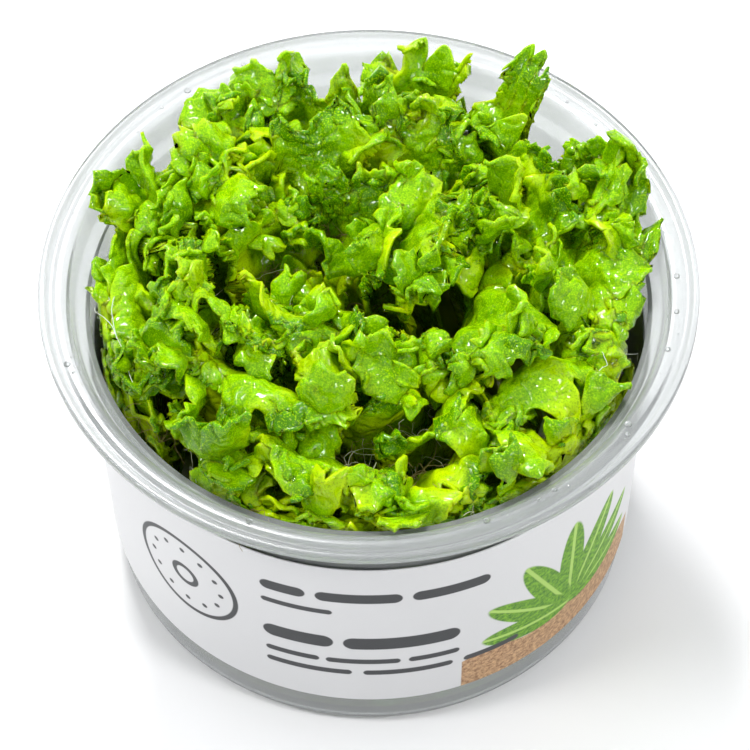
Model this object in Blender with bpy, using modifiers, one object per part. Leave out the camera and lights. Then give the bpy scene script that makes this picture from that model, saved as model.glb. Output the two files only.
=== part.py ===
"""Tissue culture liverwort in its clear plastic cup, in metres, +Z up.

The origin is on the cup's axis, in the plane that its base stands on. The cup is turned, the label is a
wrap of paper round its wall, the gel fills its floor, and every thallus is one thin blade that stands on
the gel. The thalli follow a family of nested curves, which rise from the gel and lean outward more and
more, as the leaves of a lettuce do, so that no blade cuts through its neighbour.
"""

from math import cos, floor, pi, radians, sin, tanh

import bmesh
import bpy
import numpy as np

MM = 0.001

# Cup, all in millimetres
SHOULDER_HEIGHT = 57.6
WALL_TOP_RADIUS = 43.2
WALL_BASE_RADIUS = 41.6
WALL = 0.8
FLOOR = 0.9
BASE_CORNER = 3.0
CORNER_STEPS = 3
CUP_SEGMENTS = 44

# The flange's section, radius and height, from the wall's inside over the rim to the wall's outside
FLANGE_SECTION = (
    (42.4, 57.6), (44.4, 58.3), (45.2, 60.7), (45.9, 61.3), (47.4, 61.4), (48.0, 61.1), (48.8, 61.3), (49.0, 62.0),
    (49.8, 62.0), (50.0, 61.7), (50.0, 60.5), (49.3, 60.5), (48.0, 60.4), (46.0, 60.4), (45.2, 57.4), (43.2, 56.7),
)

# Label
LABEL_BOTTOM = 9.0
LABEL_TOP = 48.3
LABEL_THICKNESS = 0.25
LABEL_SEAM = radians(4)
LABEL_SEGMENTS = 40

# Gel
GEL_TOP = 15.0
GAP = 0.3
GEL_SIDE_GAP = 0.7
GEL_SHOULDER = 1.5
GEL_ROUNDING = 0.5
GEL_SEGMENTS = 40

# Thalli
THALLUS_THICKNESS = 0.6
COLUMNS = 6
ROW_PLACES = (0.0, 0.4, 0.66, 0.84, 1.0)
FOOT_HALF_WIDTH = 2.6
WIDENING = 1.1
LEAST_RADIUS = 6.0

# A blade's lobes: shares of its length, and how far in millimetres a lobe folds out of the blade
LOBE_REACH = 0.06
NOTCH_REACH = -0.04
NOTCH_LEAST = 0.4
LEAN_REACH = 0.05
CROWN_DROP = 0.10
FOLD = 1.2

# Sines that run through the whole bunch: each wave's size, its pace along x, y and z, and its start
SWAY = 4.2
SWAY_RISE = 30.0
SWAY_REACH = 47.0
SWAY_X = ((0.8, 0.0, 0.12, 0.07, 0.6), (0.4, 0.21, 0.0, 0.0, 2.1))
SWAY_Y = ((0.8, 0.13, 0.0, -0.06, 2.4), (0.4, 0.0, 0.19, 0.0, 0.4))
SWAY_Z = ((0.8, 0.17, 0.08, 0.0, 0.0), (0.4, -0.10, 0.21, 0.0, 1.3))

# How far out the bunch may reach, inside the wall and over the rim
INNER_REACH = 41.2
OUTER_REACH = 46.5
OPEN_HEIGHT = 58.0
OPEN_RISE = 5.0
SOFT_REACH = 5.0

# The nested curves: the tip of a blade and the point that it bends towards, by its foot's distance from
# the heart. Towards the front the blades arch over and droop, and towards the back they stand up. The
# front of the bunch is turned a little from the label's middle.
FOOT = (0.0, 9.0, 15.0, 21.0, 27.0, 33.0, 38.0, 40.0)
FRONT_TIP_RADIUS = (2.0, 17.0, 24.0, 30.5, 36.5, 41.0, 41.5, 41.0)
FRONT_TIP_HEIGHT = (58.0, 68.0, 66.0, 62.5, 59.0, 56.0, 55.0, 53.0)
FRONT_BEND_RADIUS = (1.0, 5.0, 11.5, 18.5, 25.5, 32.5, 38.0, 40.3)
FRONT_BEND_HEIGHT = (48.0, 76.0, 75.0, 71.0, 66.5, 60.0, 49.0, 40.0)
BACK_TIP_RADIUS = (2.0, 13.0, 20.5, 27.5, 34.0, 40.5, 43.0, 43.0)
BACK_TIP_HEIGHT = (54.0, 61.0, 66.0, 69.0, 71.0, 68.5, 60.0, 48.0)
BACK_BEND_RADIUS = (1.0, 6.0, 11.5, 18.0, 24.5, 32.0, 38.5, 40.3)
BACK_BEND_HEIGHT = (45.0, 48.0, 51.0, 54.0, 56.0, 55.0, 48.0, 38.0)
FOOT_HANDLE = 0.4
FRONT_SHARE = 0.6
FRONT_TURN = radians(15)

# The heart of the bunch, which the blades lean away from, isn't on the axis
HEART_X = -7.0
HEART_Y = 4.5
HEART_REACH = 41.0

# The rings of thalli: the foot's distance from the heart and its stagger, then each blade's azimuth in
# degrees, its width, and its length as a share of the nested curve's. Azimuth 0 is to the right, 90 to
# the back, and 270 to the front, where the label's middle is. Neighbours in a ring stand nearer to the
# heart and further from it in turn, by the stagger, so that their sides overlap.
RINGS = (
    (3.0, 0.0, ((80, 14, 1.00), (255, 14, 0.96))),
    (9.0, 0.0, ((25, 18, 1.00), (145, 18, 0.96), (265, 18, 0.98))),
    (15.0, 0.0, ((0, 21, 1.00), (70, 21, 0.98), (143, 21, 0.94), (217, 22, 1.00), (289, 21, 0.98))),
    (21.0, 1.5, (
        (25, 25, 1.00), (70, 25, 1.02), (112, 25, 1.00), (155, 25, 0.98),
        (197, 25, 0.94), (243, 26, 1.06), (288, 25, 0.92), (335, 27, 1.05),
    )),
    (27.0, 1.5, (
        (5, 26, 1.00), (44, 24, 0.94), (78, 20, 1.02), (113, 24, 0.95), (153, 26, 0.97),
        (192, 26, 1.04), (228, 26, 0.86), (262, 24, 1.01), (293, 24, 0.88), (327, 28, 1.06),
    )),
    (33.0, 1.5, (
        (0, 22, 1.10), (29, 20, 1.08), (50, 6, 1.16), (78, 14, 1.07), (119, 13, 1.08), (145, 20, 0.97),
        (172, 24, 0.98), (201, 24, 0.98), (231, 24, 1.02), (260, 22, 0.90), (289, 22, 1.04), (323, 25, 0.96),
    )),
    (38.0, 1.2, (
        (18, 24, 1.12), (62, 22, 0.90), (105, 22, 0.90), (155, 24, 0.96),
        (202, 20, 0.89), (245, 22, 1.02), (290, 22, 1.04), (335, 24, 1.04),
    )),
)
TWIST = 80.0
MOST_TWIST = 10.0
TWIST_PACE = 3.1
LEAN_PACE = 2.7

# Factors of the usual sine hash, which gives a random-looking share for a pair of whole numbers
HASH_COUNT = 12.9898
HASH_SEED = 78.233
HASH_SIZE = 43758.5453
FOLD_COUNT = 40


def remove_all_objects():
    for thing in list(bpy.data.objects):
        bpy.data.objects.remove(thing, do_unlink=True)


def plastic(name, colour, roughness, alpha=1.0):
    material = bpy.data.materials.new(name)
    material.use_nodes = True
    shader = material.node_tree.nodes["Principled BSDF"]
    shader.inputs["Base Color"].default_value = (*colour, 1.0)
    shader.inputs["Roughness"].default_value = roughness
    shader.inputs["Metallic"].default_value = 0.0
    shader.inputs["Alpha"].default_value = alpha
    return material


def add_object(name, mesh, material, collection):
    thing = bpy.data.objects.new(name, mesh)
    mesh.materials.append(material)
    collection.objects.link(thing)
    return thing


def turned(name, profile, segments, material, collection):
    """A turned solid from points (radius, height) that run down the outer side."""
    mesh = bpy.data.meshes.new(name)
    points = [(radius * MM, 0.0, height * MM) for radius, height in profile]
    edges = [(index, index + 1) for index in range(len(points) - 1)]
    mesh.from_pydata(points, edges, [])
    thing = add_object(name, mesh, material, collection)
    screw = thing.modifiers.new("turn", "SCREW")
    screw.steps = segments
    screw.render_steps = segments
    screw.use_merge_vertices = True
    screw.merge_threshold = 0.00001
    screw.use_smooth_shade = True
    return thing


def wall_radius(height):
    """The wall's outer radius at a height."""
    return WALL_BASE_RADIUS + (WALL_TOP_RADIUS - WALL_BASE_RADIUS) * height / SHOULDER_HEIGHT


def cup_profile():
    inner_corner = BASE_CORNER - WALL
    inner_radius = wall_radius(FLOOR) - WALL
    profile = [(0.0, FLOOR)]
    for step in range(CORNER_STEPS + 1):
        angle = 0.5 * pi * step / CORNER_STEPS
        radius = inner_radius - inner_corner * (1.0 - sin(angle))
        profile.append((radius, FLOOR + inner_corner * (1.0 - cos(angle))))
    profile += FLANGE_SECTION
    for step in range(CORNER_STEPS + 1):
        angle = 0.5 * pi * step / CORNER_STEPS
        radius = WALL_BASE_RADIUS - BASE_CORNER * (1.0 - cos(angle))
        profile.append((radius, BASE_CORNER * (1.0 - sin(angle))))
    profile.append((0.0, 0.0))
    return profile


def gel_profile():
    side = wall_radius(GEL_TOP) - WALL - GEL_SIDE_GAP
    return [
        (0.0, GEL_TOP),
        (side - GEL_SHOULDER, GEL_TOP),
        (side, GEL_TOP - GEL_ROUNDING),
        (side - GAP, FLOOR + BASE_CORNER),
        (side - BASE_CORNER + GEL_ROUNDING, FLOOR + GAP),
        (0.0, FLOOR + GAP),
    ]


def label_mesh():
    """A wrap of paper with a seam at the back, thickened by its Solidify modifier."""
    form = bmesh.new()
    bmesh.ops.create_grid(form, x_segments=LABEL_SEGMENTS, y_segments=1, size=0.5)
    for vertex in form.verts:
        azimuth = 1.5 * pi + vertex.co.x * (2.0 * pi - LABEL_SEAM)
        height = LABEL_BOTTOM + (vertex.co.y + 0.5) * (LABEL_TOP - LABEL_BOTTOM)
        radius = wall_radius(height) + GAP + 0.5 * LABEL_THICKNESS
        vertex.co = (radius * cos(azimuth) * MM, radius * sin(azimuth) * MM, height * MM)
    mesh = bpy.data.meshes.new("label")
    form.to_mesh(mesh)
    form.free()
    return mesh


def tip_value(foot, front, front_values, back_values):
    return front * np.interp(foot, FOOT, front_values) + (1.0 - front) * np.interp(foot, FOOT, back_values)


def curve_point(foot, azimuth, place):
    """Radius and height on the nested curve of a foot radius, at a place from 0, foot, to 1, tip."""
    front = (0.5 - 0.5 * sin(azimuth + FRONT_TURN)) ** FRONT_SHARE
    tip_height = tip_value(foot, front, FRONT_TIP_HEIGHT, BACK_TIP_HEIGHT)
    points = (
        (foot, GEL_TOP + GAP),
        (foot, GEL_TOP + FOOT_HANDLE * (tip_height - GEL_TOP)),
        (
            tip_value(foot, front, FRONT_BEND_RADIUS, BACK_BEND_RADIUS),
            tip_value(foot, front, FRONT_BEND_HEIGHT, BACK_BEND_HEIGHT),
        ),
        (tip_value(foot, front, FRONT_TIP_RADIUS, BACK_TIP_RADIUS), tip_height),
    )
    rest = 1.0 - place
    weights = (rest ** 3, 3.0 * rest ** 2 * place, 3.0 * rest * place ** 2, place ** 3)
    radius = sum(weight * point[0] for weight, point in zip(weights, points))
    height = sum(weight * point[1] for weight, point in zip(weights, points))
    return radius, height


def off_centre(x, y):
    """Moves the heart of the bunch off the axis and leaves the bunch's edge where it is."""
    share = max(1.0 - (x * x + y * y) / HEART_REACH ** 2, 0.0)
    return x + HEART_X * share, y + HEART_Y * share


def wave_sum(waves, x, y, z):
    total = 0.0
    for size, pace_x, pace_y, pace_z, start in waves:
        total += size * sin(pace_x * x + pace_y * y + pace_z * z + start)
    return total


def swayed(x, y, z):
    """The whole bunch's slow sway, which breaks up the rings and leaves feet and wall where they are."""
    rise = min(max((z - GEL_TOP) / SWAY_RISE, 0.0), 1.0)
    calm = max(1.0 - (x * x + y * y) / SWAY_REACH ** 2, 0.0)
    amount = SWAY * calm * rise * rise * (3.0 - 2.0 * rise)
    shifts = [amount * wave_sum(waves, x, y, z) for waves in (SWAY_X, SWAY_Y, SWAY_Z)]
    return x + shifts[0], y + shifts[1], z + shifts[2]


def inside_cup(x, y, z):
    """Presses what would pass through the wall, or far over the rim, back towards the axis."""
    opening = min(max((z - OPEN_HEIGHT) / OPEN_RISE, 0.0), 1.0)
    reach = INNER_REACH + (OUTER_REACH - INNER_REACH) * opening
    calm = reach - SOFT_REACH
    radius = (x * x + y * y) ** 0.5
    if radius > calm:
        pressed = calm + SOFT_REACH * tanh((radius - calm) / SOFT_REACH)
        x = x * pressed / radius
        y = y * pressed / radius
    return x, y, z


def random_share(count, seed):
    """A number from 0 to 1 for each pair of whole numbers."""
    value = sin(count * HASH_COUNT + seed * HASH_SEED) * HASH_SIZE
    return value - floor(value)


def lobe_values(column, seed):
    """How far a blade's column reaches beyond or short of its length, and how far it folds to a side."""
    share = random_share(column, seed)
    if (column + seed) % 2:
        return NOTCH_REACH * (NOTCH_LEAST + share), 0.0
    return LOBE_REACH * share, FOLD * (2.0 * random_share(column + FOLD_COUNT, seed) - 1.0)


def between_columns(across, seed):
    """The reach and the fold at any place across a blade, smoothly between its columns."""
    place = 0.5 * (across + 1.0) * COLUMNS
    column = min(int(place), COLUMNS - 1)
    share = place - column
    share = share * share * (3.0 - 2.0 * share)
    left = lobe_values(column, seed)
    right = lobe_values(column + 1, seed)
    return [(1.0 - share) * low + share * high for low, high in zip(left, right)]


def thallus_point(foot, azimuth, width, length, twist, seed, across, along):
    """A point of a blade: across runs from -1 to 1 over its width, along from 0 to 1 up to its margin."""
    reach, fold = between_columns(across, seed)
    lean = LEAN_REACH * sin(seed * LEAN_PACE) * across
    place = along * length * (1.0 + (reach + lean - CROWN_DROP * across ** 2) * along)
    spread = FOOT_HALF_WIDTH + (0.5 * width - FOOT_HALF_WIDTH) * along ** WIDENING
    middle_radius = max(curve_point(foot, azimuth, place)[0], LEAST_RADIUS)
    turn = azimuth + twist * along ** 2 + across * spread / middle_radius
    radius, height = curve_point(foot + fold * along ** 2, turn, place)
    x, y = off_centre(radius * cos(turn), radius * sin(turn))
    x, y, z = swayed(x, y, height)
    return inside_cup(x, y, z)


def thallus_mesh(name, foot, azimuth, width, length, twist, seed):
    form = bmesh.new()
    rows = len(ROW_PLACES) - 1
    bmesh.ops.create_grid(form, x_segments=COLUMNS, y_segments=rows, size=1.0)
    for vertex in form.verts:
        along = ROW_PLACES[round((vertex.co.y + 1.0) * 0.5 * rows)]
        point = thallus_point(foot, azimuth, width, length, twist, seed, vertex.co.x, along)
        vertex.co = [part * MM for part in point]
    mesh = bpy.data.meshes.new(name)
    form.to_mesh(mesh)
    form.free()
    return mesh


def thicken(thing, thickness):
    solidify = thing.modifiers.new("thickness", "SOLIDIFY")
    solidify.thickness = thickness * MM
    solidify.offset = 0.0
    solidify.use_even_offset = False
    return solidify


def build():
    remove_all_objects()
    collection = bpy.data.collections.new("tissue_culture_liverwort")
    bpy.context.scene.collection.children.link(collection)
    clear = plastic("clear plastic", (0.93, 0.95, 0.95), 0.08, 0.35)
    paper = plastic("white paper", (0.80, 0.80, 0.80), 0.55)
    jelly = plastic("nutrient gel", (0.42, 0.48, 0.22), 0.25)
    greens = (
        plastic("thallus yellow green", (0.38, 0.55, 0.01), 0.30),
        plastic("thallus mid green", (0.18, 0.42, 0.01), 0.30),
        plastic("thallus deep green", (0.06, 0.24, 0.01), 0.30),
    )
    turned("cup", cup_profile(), CUP_SEGMENTS, clear, collection)
    turned("gel", gel_profile(), GEL_SEGMENTS, jelly, collection)
    thicken(add_object("label", label_mesh(), paper, collection), LABEL_THICKNESS)
    number = 0
    for ring, stagger, blades in RINGS:
        for place, (azimuth, width, length) in enumerate(blades):
            number += 1
            name = f"thallus_{number:02d}"
            foot = ring + (stagger if place % 2 else -stagger)
            twist = radians(min(TWIST / ring, MOST_TWIST) * sin(number * TWIST_PACE))
            mesh = thallus_mesh(name, foot, radians(azimuth), width, length, twist, number)
            blade = add_object(name, mesh, greens[number % len(greens)], collection)
            thicken(blade, THALLUS_THICKNESS)


build()
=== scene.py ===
# %% [markdown]
# # A liverwort grown in a clear cup
# The real thing is a small in-vitro culture: an open plastic cup with a paper wrap, a disc of jelly on
# its floor, and a dense bunch of wet, ruffled green thalli that stands above the rim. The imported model
# gives every piece its place and size. This script gives each one its finish.

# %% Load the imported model
from itertools import product
from math import cos, pi, radians, sin, sqrt, tau

import bpy
import numpy as np
from mathutils import Matrix, Vector, noise


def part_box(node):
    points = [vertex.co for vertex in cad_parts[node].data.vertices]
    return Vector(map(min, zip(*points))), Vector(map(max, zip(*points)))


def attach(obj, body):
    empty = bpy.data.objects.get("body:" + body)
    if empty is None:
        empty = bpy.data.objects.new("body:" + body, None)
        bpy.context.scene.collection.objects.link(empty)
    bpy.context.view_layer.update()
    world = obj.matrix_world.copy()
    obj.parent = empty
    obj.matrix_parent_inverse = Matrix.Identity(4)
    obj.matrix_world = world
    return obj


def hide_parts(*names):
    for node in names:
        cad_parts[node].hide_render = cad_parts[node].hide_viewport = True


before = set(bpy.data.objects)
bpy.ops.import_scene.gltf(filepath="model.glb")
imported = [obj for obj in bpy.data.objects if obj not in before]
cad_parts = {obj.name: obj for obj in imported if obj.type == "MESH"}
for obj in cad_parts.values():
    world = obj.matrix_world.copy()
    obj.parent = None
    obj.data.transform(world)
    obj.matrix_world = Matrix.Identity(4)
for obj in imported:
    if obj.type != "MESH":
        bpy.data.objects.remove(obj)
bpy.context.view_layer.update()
MM = 0.001
_, cup_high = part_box("cup")
label_low, label_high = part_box("label")
_, gel_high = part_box("gel")
RIM_RADIUS = cup_high.x / MM
RIM_HEIGHT = cup_high.z / MM
GEL_TOP = gel_high.z / MM
print("rim radius", round(RIM_RADIUS, 1), "rim height", round(RIM_HEIGHT, 1), "gel top", round(GEL_TOP, 1))

# %% [markdown]
# ## Small helpers
# Operators act on whatever is selected, so each new piece starts with nothing selected and is then the
# only one that is. Modifiers are applied at once, which leaves plain meshes.

# %% Selection
def start_clean():
    """Leaves edit mode and selects nothing."""
    if bpy.context.object and bpy.context.object.mode != "OBJECT":
        bpy.ops.object.mode_set(mode="OBJECT")
    bpy.ops.object.select_all(action="DESELECT")


def only(piece):
    start_clean()
    piece.select_set(True)
    bpy.context.view_layer.objects.active = piece


def named(name):
    """The new primitive, with a plain name of its own."""
    piece = bpy.context.object
    piece.name = name
    piece.data.name = name
    return piece


# %% Modifiers and shading
SMOOTH_ANGLE = radians(40)


def finish_modifier(piece, modifier):
    only(piece)
    bpy.ops.object.modifier_apply(modifier=modifier.name)


def thicken(piece, thickness):
    sheet = piece.modifiers.new("thickness", "SOLIDIFY")
    sheet.thickness = thickness * MM
    sheet.offset = 0.0
    sheet.use_even_offset = False
    finish_modifier(piece, sheet)


def round_edges(piece, width, segments, angle):
    bevel = piece.modifiers.new("rounded edges", "BEVEL")
    bevel.width = width * MM
    bevel.segments = segments
    bevel.limit_method = "ANGLE"
    bevel.angle_limit = angle
    finish_modifier(piece, bevel)


def smooth_to_angle(piece):
    """Shades a piece smoothly, but keeps its sharper edges."""
    only(piece)
    bpy.ops.object.shade_smooth_by_angle(angle=SMOOTH_ANGLE)


def settle(piece, slot="", *nodes):
    """Puts a finished piece on the body, in place of its CAD nodes."""
    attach(piece, "root")
    if nodes:
        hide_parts(*nodes)
    print(piece.name, len(piece.data.polygons), "faces")
    return piece


# %% [markdown]
# ## Helpers for materials
# Every finish is a small tree of nodes on the Principled shader. What is the same all over a surface is a
# plain number on the shader's own socket, and what varies is another node's output. One helper takes
# either, so a finish reads as a list of what it is.

# %% A new material and its nodes
def new_material(name):
    material = bpy.data.materials.new(name)
    material.use_nodes = True
    tree = material.node_tree
    return material, tree, tree.nodes["Principled BSDF"]


def plug(tree, value, socket):
    if isinstance(value, bpy.types.NodeSocket):
        tree.links.new(value, socket)
    else:
        socket.default_value = value


def fill(tree, made, **inputs):
    """Sets or links a node's inputs by name, with _ for a space."""
    for name, value in inputs.items():
        plug(tree, value, made.inputs[name.replace("_", " ")])


def node(tree, kind, **inputs):
    made = tree.nodes.new(kind)
    fill(tree, made, **inputs)
    return made


def colour(red, green, blue):
    return (red, green, blue, 1.0)


# %% Sums, steps and mixes
def maths(tree, operation, first, second=0.0, third=0.0):
    made = tree.nodes.new("ShaderNodeMath")
    made.operation = operation
    for value, socket in zip((first, second, third), made.inputs):
        plug(tree, value, socket)
    return made.outputs[0]


def smooth_step(tree, value, low, high):
    made = node(tree, "ShaderNodeMapRange", Value=value, From_Min=low, From_Max=high)
    made.interpolation_type = "SMOOTHSTEP"
    return made.outputs["Result"]


def mixed(tree, factor, first, second):
    """A colour between two colours."""
    made = tree.nodes.new("ShaderNodeMix")
    made.data_type = "RGBA"
    fill(tree, made, Factor=factor, A=first, B=second)
    return made.outputs["Result"]


# %% Noise, bumps and soft light
def grain(tree, place, scale, detail=2.0, roughness=0.5):
    made = node(tree, "ShaderNodeTexNoise", Vector=place, Scale=scale, Detail=detail, Roughness=roughness)
    return made.outputs["Fac"]


def bumpy(tree, shader, height, distance):
    """Links a bump to the shader, and gives back the bumped normal."""
    normal = node(tree, "ShaderNodeBump", Distance=distance * MM, Height=height).outputs["Normal"]
    fill(tree, shader, Normal=normal)
    return normal


def scatter(tree, shader, weight, radius, scale):
    """Lets light into a surface and out again, up to the scale away in millimetres."""
    fill(tree, shader, Subsurface_Weight=weight, Subsurface_Radius=radius, Subsurface_Scale=scale * MM)


# %% [markdown]
# ## The clear cup
# A thermoformed cup is one thin skin. Its outline could be a curve for the screw modifier. Here it is
# drawn as a stack of rings, as by hand: the first ring is a circle primitive, and each next ring is
# extruded from the last one, resized about the axis and moved up or down. The outline runs under the
# base, up the outside, over the flange and down the inside, so the skin gets its two sides in one go.

# %% Turned solids made from rings
def stack_rings(name, rings, segments):
    """Extrudes a circle through rings of (radius, height) and closes both ends with a fan of faces."""
    start_clean()
    radius, height = rings[0]
    bpy.ops.mesh.primitive_circle_add(vertices=segments, radius=radius * MM, location=(0.0, 0.0, height * MM))
    piece = named(name)
    bpy.ops.object.transform_apply(location=True, rotation=False, scale=False)
    bpy.ops.object.mode_set(mode="EDIT")
    bpy.ops.mesh.select_mode(type="EDGE")
    bpy.ops.mesh.select_all(action="SELECT")
    for next_radius, next_height in rings[1:]:
        bpy.ops.mesh.extrude_region_move()
        ratio = next_radius / radius
        bpy.ops.transform.resize(value=(ratio, ratio, 1.0), center_override=(0.0, 0.0, 0.0))
        bpy.ops.transform.translate(value=(0.0, 0.0, (next_height - height) * MM))
        radius, height = next_radius, next_height
    bpy.ops.mesh.select_all(action="DESELECT")
    bpy.ops.mesh.select_non_manifold()
    bpy.ops.mesh.fill_holes(sides=0)
    bpy.ops.mesh.select_mode(type="FACE")
    bpy.ops.mesh.select_all(action="DESELECT")
    bpy.ops.mesh.select_face_by_sides(number=segments, type="EQUAL")
    bpy.ops.mesh.poke()
    bpy.ops.mesh.select_all(action="SELECT")
    bpy.ops.mesh.normals_make_consistent(inside=False)
    bpy.ops.object.mode_set(mode="OBJECT")
    return piece


# %% The wall and its rounded foot
SHOULDER_HEIGHT = 57.6
WALL_TOP_RADIUS = 43.2
WALL_BASE_RADIUS = 41.6
WALL = 0.8
FLOOR = 0.9
MIDDLE_DISC = 8.0
BASE_CORNER = 3.0
CORNER_STEPS = 6


def wall_radius(height):
    """The wall's outer radius at a height."""
    return WALL_BASE_RADIUS + (WALL_TOP_RADIUS - WALL_BASE_RADIUS) * height / SHOULDER_HEIGHT


def corner_turns():
    """The sine and cosine of each step round a quarter circle."""
    angles = [0.5 * pi * step / CORNER_STEPS for step in range(CORNER_STEPS + 1)]
    return [(sin(angle), cos(angle)) for angle in angles]


def outer_foot():
    """Rings from the middle of the base round its corner to the wall."""
    rings = [(MIDDLE_DISC, 0.0)]
    for sine, cosine in corner_turns():
        rings.append((WALL_BASE_RADIUS - BASE_CORNER * (1.0 - sine), BASE_CORNER * (1.0 - cosine)))
    return rings


def inner_foot():
    """Rings from the wall round the inner corner to the middle of the floor."""
    corner = BASE_CORNER - WALL
    inner = wall_radius(FLOOR) - WALL
    rings = []
    for sine, cosine in corner_turns():
        rings.append((inner - corner * (1.0 - cosine), FLOOR + corner * (1.0 - sine)))
    return rings + [(MIDDLE_DISC, FLOOR)]


# %% The flange
FLANGE_HEIGHT = 61.3
FLANGE_INNER_RADIUS = 45.2
FLANGE_THICKNESS = 0.9
GROOVE_RADIUS = 48.0
LIP_RADIUS = 49.0
LIP_DROP = 1.5


def flange_rings():
    """Rings out along the underside, round the raised lip and back over the groove."""
    return [
        (WALL_TOP_RADIUS, SHOULDER_HEIGHT - 0.9),
        (FLANGE_INNER_RADIUS, SHOULDER_HEIGHT - 0.2),
        (FLANGE_INNER_RADIUS + WALL, FLANGE_HEIGHT - FLANGE_THICKNESS),
        (GROOVE_RADIUS, FLANGE_HEIGHT - FLANGE_THICKNESS),
        (RIM_RADIUS - 0.7, RIM_HEIGHT - LIP_DROP),
        (RIM_RADIUS, RIM_HEIGHT - LIP_DROP),
        (RIM_RADIUS, RIM_HEIGHT - 0.3),
        (RIM_RADIUS - 0.2, RIM_HEIGHT),
        (LIP_RADIUS, RIM_HEIGHT),
        (LIP_RADIUS - 0.2, FLANGE_HEIGHT),
        (GROOVE_RADIUS, FLANGE_HEIGHT - 0.2),
        (GROOVE_RADIUS - 0.6, FLANGE_HEIGHT + 0.1),
        (FLANGE_INNER_RADIUS + 0.7, FLANGE_HEIGHT),
        (FLANGE_INNER_RADIUS, FLANGE_HEIGHT - 0.6),
        (FLANGE_INNER_RADIUS - WALL, SHOULDER_HEIGHT + 0.7),
        (WALL_TOP_RADIUS - WALL, SHOULDER_HEIGHT),
    ]


# %% Turn the cup
CUP_SEGMENTS = 192
EDGE_ROUNDING = 0.25
EDGE_STEPS = 2
CREASE = radians(25)

cup = stack_rings("clear_cup", outer_foot() + flange_rings() + inner_foot(), CUP_SEGMENTS)
round_edges(cup, EDGE_ROUNDING, EDGE_STEPS, CREASE)
smooth_to_angle(cup)
print("cup", len(cup.data.polygons), "faces")

# %% [markdown]
# ### Clear plastic
# Natural polypropylene is see-through but never quite clear: it greys what lies behind it a little, and
# blurs it. A glass shader alone would look like crystal. Plain transmission with some roughness and a
# grey tint, and a small part left opaque, gives the milky edge that the flange has.

# %% Thin polypropylene
def clear_plastic():
    material, tree, shader = new_material("clear cup plastic")
    fill(tree, shader, Base_Color=colour(0.62, 0.64, 0.64), Transmission_Weight=0.76, IOR=1.3, Roughness=0.13)
    return material


cup.data.materials.append(clear_plastic())
settle(cup, "clear_plastic", "cup")

# %% [markdown]
# ## The jelly
# The plant's food is set in a clear jelly. It is a low disc that fills the cup's floor, cloudy olive
# from the thalli above it and with a slightly uneven top. It is turned from rings as the cup is, and
# only the vertices of its top are moved, by a slow noise.

# %% The gel disc
GEL_GAP = 0.3
GEL_SEGMENTS = 96
GEL_WAVE = 0.25
GEL_WAVE_PACE = 90.0
GEL_TOP_EDGE = 0.5
GEL_TOP_RADII = (34.0, 28.0, 22.0, 16.0, 10.0, 5.0)


def gel_rings():
    side = wall_radius(GEL_TOP) - WALL - GEL_GAP
    bottom = FLOOR + GEL_GAP
    rings = [(MIDDLE_DISC, bottom), (side - BASE_CORNER + 0.5, bottom), (side - 0.6, FLOOR + BASE_CORNER)]
    rings += [(side - 0.1, GEL_TOP - 0.8), (side - 0.4, GEL_TOP - 0.3), (side - 1.6, GEL_TOP - 0.2)]
    rings += [(radius, GEL_TOP - GEL_WAVE) for radius in GEL_TOP_RADII]
    return rings


def ripple_top(piece):
    for vertex in piece.data.vertices:
        if vertex.co.z > (GEL_TOP - GEL_TOP_EDGE) * MM:
            vertex.co.z += GEL_WAVE * MM * noise.noise(vertex.co * GEL_WAVE_PACE)


gel = stack_rings("nutrient_gel", gel_rings(), GEL_SEGMENTS)
ripple_top(gel)
smooth_to_angle(gel)

# %% [markdown]
# ### Cloudy jelly
# Light goes into jelly and comes out somewhere else, so most of its look is subsurface scattering. Two
# noises colour it: a slow cloud between two olives, and a few green bits of thallus that sank into it.

# %% Jelly
CLOUD_SCALE = 120.0
BITS_SCALE = 75.0


def jelly():
    material, tree, shader = new_material("nutrient jelly")
    place = node(tree, "ShaderNodeTexCoord").outputs["Object"]
    cloud = smooth_step(tree, grain(tree, place, CLOUD_SCALE, 3.0), 0.35, 0.7)
    olive = mixed(tree, cloud, colour(0.16, 0.21, 0.004), colour(0.24, 0.30, 0.01))
    bits = smooth_step(tree, grain(tree, place, BITS_SCALE), 0.60, 0.68)
    fill(tree, shader, Base_Color=mixed(tree, bits, olive, colour(0.22, 0.48, 0.01)), Roughness=0.15)
    scatter(tree, shader, 0.6, (1.0, 1.0, 0.5), 3.0)
    return material


gel.data.materials.append(jelly())
settle(gel, "nutrient_gel", "gel")

# %% [markdown]
# ## The paper wrap
# The label is a strip of white paper wound round the wall with a seam at the back. A cylinder would need
# its UV map unrolled. A grid wound into a ring keeps the map that it was made with, which says how far
# round and how far up each point is, and the print reads those two numbers.

# %% Wind the strip round the wall
LABEL_BOTTOM = label_low.z / MM
LABEL_TOP = label_high.z / MM
LABEL_GAP = 0.3
PAPER = 0.2
SEAM = radians(4)
LABEL_COLUMNS = 240
LABEL_ROWS = 16


def wind_label():
    start_clean()
    bpy.ops.mesh.primitive_grid_add(x_subdivisions=LABEL_COLUMNS, y_subdivisions=LABEL_ROWS, size=2.0)
    piece = named("paper_label")
    for vertex in piece.data.vertices:
        azimuth = -0.5 * pi + 0.5 * vertex.co.x * (tau - SEAM)
        height = LABEL_BOTTOM + 0.5 * (vertex.co.y + 1.0) * (LABEL_TOP - LABEL_BOTTOM)
        radius = wall_radius(height) + LABEL_GAP + 0.5 * PAPER
        vertex.co = (radius * cos(azimuth) * MM, radius * sin(azimuth) * MM, height * MM)
    thicken(piece, PAPER)
    smooth_to_angle(piece)
    return piece


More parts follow.
